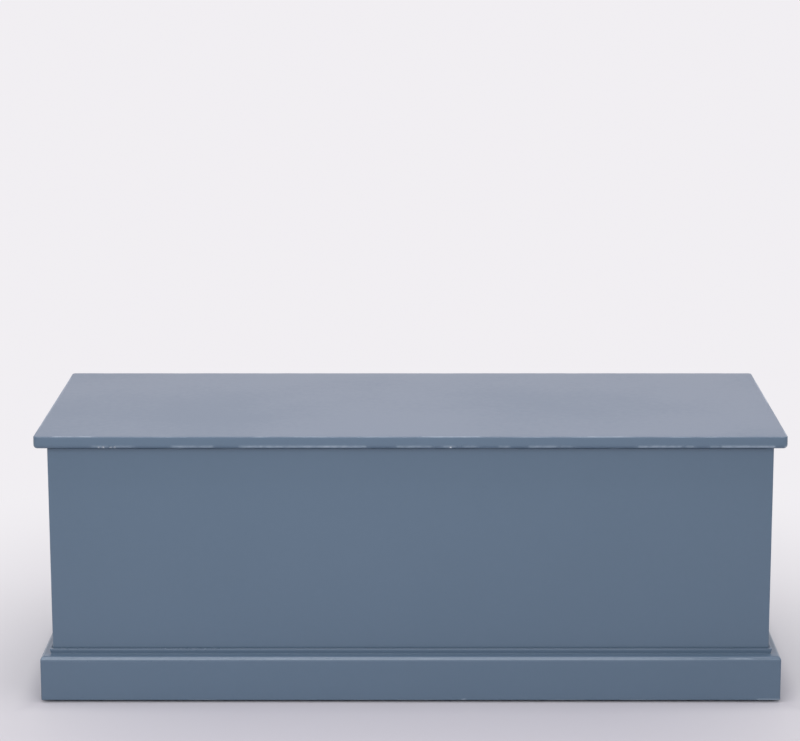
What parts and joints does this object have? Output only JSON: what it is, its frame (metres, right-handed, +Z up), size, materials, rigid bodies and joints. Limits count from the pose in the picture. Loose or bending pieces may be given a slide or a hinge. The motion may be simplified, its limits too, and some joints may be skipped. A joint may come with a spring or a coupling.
{
  "type": "storage chest",
  "caption": "Long painted storage chest with an overhanging lift-up lid on butt hinges, slotted lid stays and a moulded plinth round its front and sides.",
  "frame": {"origin": "on the floor, under the middle of the whole chest, hinge knuckles included", "axes": "+X to the right along the width, -Y out of the front, +Z up"},
  "size_m": [1.3, 0.5074, 0.481],
  "materials": {
    "painted_wood": "brushed blue-grey satin paint",
    "plywood": "bare, sanded",
    "pine": "bare, planed",
    "steel": "zinc plated",
    "nylon": "moulded",
    "bumper_rubber": "soft, matt"
  },
  "bodies": {
    "carcass": {"front_panel": "painted_wood", "back_panel": "painted_wood", "left_side_panel": "painted_wood", "right_side_panel": "painted_wood", "front_plinth": "painted_wood", "left_plinth": "painted_wood", "right_plinth": "painted_wood", "bottom_panel": "plywood", "front_cleat": "pine", "back_cleat": "pine", "left_cleat": "pine", "right_cleat": "pine", "middle_bearer": "pine", "front_left_block": "pine", "front_right_block": "pine", "back_left_block": "pine", "back_right_block": "pine", "front_left_glide": "nylon", "front_right_glide": "nylon", "back_left_glide": "nylon", "back_right_glide": "nylon", "left_bumper": "bumper_rubber", "right_bumper": "bumper_rubber", "left_hinge_fixed_leaf": "steel", "middle_hinge_fixed_leaf": "steel", "right_hinge_fixed_leaf": "steel", "left_hinge_pin": "steel", "middle_hinge_pin": "steel", "right_hinge_pin": "steel", "left_hinge_fixed_screw_1": "steel", "left_hinge_fixed_screw_2": "steel", "middle_hinge_fixed_screw_1": "steel", "middle_hinge_fixed_screw_2": "steel", "right_hinge_fixed_screw_1": "steel", "right_hinge_fixed_screw_2": "steel", "left_stay_stud": "steel", "right_stay_stud": "steel"},
    "lid": {"lid_panel": "painted_wood", "left_batten": "painted_wood", "right_batten": "painted_wood", "left_hinge_lid_leaf": "steel", "middle_hinge_lid_leaf": "steel", "right_hinge_lid_leaf": "steel", "left_hinge_lid_screw_1": "steel", "left_hinge_lid_screw_2": "steel", "middle_hinge_lid_screw_1": "steel", "middle_hinge_lid_screw_2": "steel", "right_hinge_lid_screw_1": "steel", "right_hinge_lid_screw_2": "steel", "left_stay_bracket": "steel", "right_stay_bracket": "steel", "left_stay_rivet": "steel", "right_stay_rivet": "steel", "left_bracket_screw_1": "steel", "left_bracket_screw_2": "steel", "right_bracket_screw_1": "steel", "right_bracket_screw_2": "steel"},
    "left_stay": {"left_stay_arm": "steel"},
    "right_stay": {"right_stay_arm": "steel"}
  },
  "joints": [
    {"name": "lid_hinge", "type": "hinge", "parent": "carcass", "child": "lid", "pos_m": [0, 0.25015, 0.4572], "axis": [-1, 0, 0], "range_deg": [0, 95]},
    {"name": "left_stay_pivot", "type": "hinge", "parent": "lid", "child": "left_stay", "pos_m": [-0.60525, 0.08353, 0.446], "axis": [-1, 0, 0], "range_deg": [-48, 0]},
    {"name": "right_stay_pivot", "type": "hinge", "parent": "lid", "child": "right_stay", "pos_m": [0.60525, 0.08353, 0.446], "axis": [-1, 0, 0], "range_deg": [-48, 0]}
  ],
  "couplings": [
    {"joint": "left_stay_pivot", "follows": "lid_hinge", "ratio": -0.5},
    {"joint": "right_stay_pivot", "follows": "lid_hinge", "ratio": -0.5}
  ]
}
